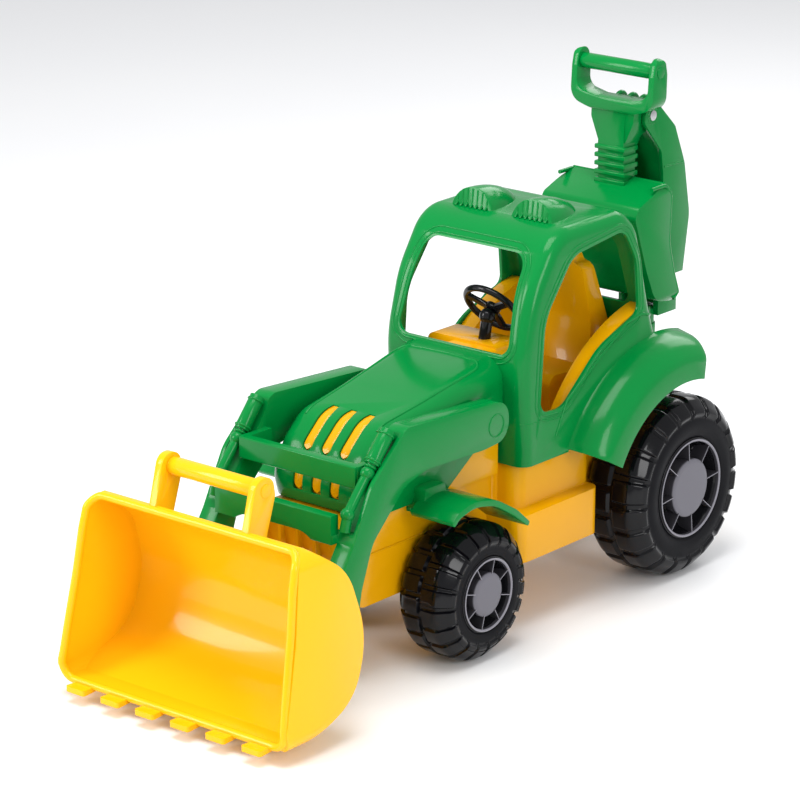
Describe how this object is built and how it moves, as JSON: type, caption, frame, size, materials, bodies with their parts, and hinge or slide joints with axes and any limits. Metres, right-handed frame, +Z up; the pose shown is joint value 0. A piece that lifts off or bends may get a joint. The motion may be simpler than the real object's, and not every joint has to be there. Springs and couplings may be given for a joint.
{
  "type": "toy tractor",
  "caption": "Large moulded toy tractor with a tilting front loader bucket, open cab, free-rolling wheels and a folding rear backhoe.",
  "frame": {"origin": "on the ground under the middle of the whole toy", "axes": "+X to the tractor's left, -Y to its front, +Z up"},
  "size_m": [0.2158, 0.5756, 0.391],
  "materials": {
    "green_plastic": "glossy moulded plastic",
    "yellow_plastic": "glossy moulded plastic",
    "tyre_plastic": "glossy tread with satin sidewalls",
    "black_plastic": "glossy moulded plastic",
    "grey_plastic": "satin",
    "steel": "bright drawn rod"
  },
  "bodies": {
    "tractor": {"chassis": "yellow_plastic", "cab_interior": "yellow_plastic", "grille_insert": "yellow_plastic", "hood": "green_plastic", "cab_shell": "green_plastic", "front_fender_left": "green_plastic", "front_fender_right": "green_plastic", "rear_bracket": "green_plastic", "loader_pivot_rod": "steel", "front_axle": "steel", "rear_axle": "steel", "front_axle_caps": "steel", "rear_axle_caps": "steel", "steering_column": "black_plastic"},
    "steering": {"steering_wheel": "black_plastic"},
    "loader": {"loader_frame": "green_plastic", "lift_cylinder_left": "green_plastic", "lift_cylinder_right": "green_plastic", "bucket_pins": "steel"},
    "bucket": {"bucket_shell": "yellow_plastic", "bucket_grip_bar": "yellow_plastic"},
    "post": {"swing_post": "green_plastic", "swing_pin": "steel", "boom_pin": "steel"},
    "boom_arm": {"boom": "green_plastic", "dipper_pin": "steel"},
    "dipper": {"dipper_arm": "green_plastic", "rear_bucket": "green_plastic", "rear_grip_bar": "green_plastic"},
    "wheel_front_left": {"front_left_tyre": "tyre_plastic", "front_left_hub": "black_plastic", "front_left_cap": "grey_plastic"},
    "wheel_front_right": {"front_right_tyre": "tyre_plastic", "front_right_hub": "black_plastic", "front_right_cap": "grey_plastic"},
    "wheel_rear_left": {"rear_left_tyre": "tyre_plastic", "rear_left_hub": "black_plastic", "rear_left_cap": "grey_plastic"},
    "wheel_rear_right": {"rear_right_tyre": "tyre_plastic", "rear_right_hub": "black_plastic", "rear_right_cap": "grey_plastic"}
  },
  "joints": [
    {"name": "front_left_spin", "type": "hinge", "parent": "tractor", "child": "wheel_front_left", "pos_m": [0.066, -0.0378, 0.0512], "axis": [1, 0, 0], "continuous": true},
    {"name": "front_right_spin", "type": "hinge", "parent": "tractor", "child": "wheel_front_right", "pos_m": [-0.066, -0.0378, 0.0512], "axis": [1, 0, 0], "continuous": true},
    {"name": "rear_left_spin", "type": "hinge", "parent": "tractor", "child": "wheel_rear_left", "pos_m": [0.066, 0.2022, 0.07], "axis": [1, 0, 0], "continuous": true},
    {"name": "rear_right_spin", "type": "hinge", "parent": "tractor", "child": "wheel_rear_right", "pos_m": [-0.066, 0.2022, 0.07], "axis": [1, 0, 0], "continuous": true},
    {"name": "steering_turn", "type": "hinge", "parent": "tractor", "child": "steering", "pos_m": [0, 0.0742, 0.224], "axis": [0, 0.788, 0.6157], "continuous": true},
    {"name": "loader_lift", "type": "hinge", "parent": "tractor", "child": "loader", "pos_m": [0, -0.0088, 0.168], "axis": [-1, 0, 0], "range_deg": [0, 55]},
    {"name": "bucket_tilt", "type": "hinge", "parent": "loader", "child": "bucket", "pos_m": [0, -0.1768, 0.06], "axis": [1, 0, 0], "range_deg": [-6, 45]},
    {"name": "backhoe_swing", "type": "hinge", "parent": "tractor", "child": "post", "pos_m": [0, 0.2582, 0.178], "axis": [0, 0, 1], "range_deg": [-60, 60]},
    {"name": "boom_fold", "type": "hinge", "parent": "post", "child": "boom_arm", "pos_m": [0, 0.2682, 0.198], "axis": [-1, 0, 0], "range_deg": [0, 80]},
    {"name": "bucket_curl", "type": "hinge", "parent": "boom_arm", "child": "dipper", "pos_m": [0, 0.2372, 0.344], "axis": [-1, 0, 0], "range_deg": [0, 62]}
  ],
  "couplings": [
    {"joint": "bucket_curl", "follows": "boom_fold", "ratio": 0.75}
  ]
}
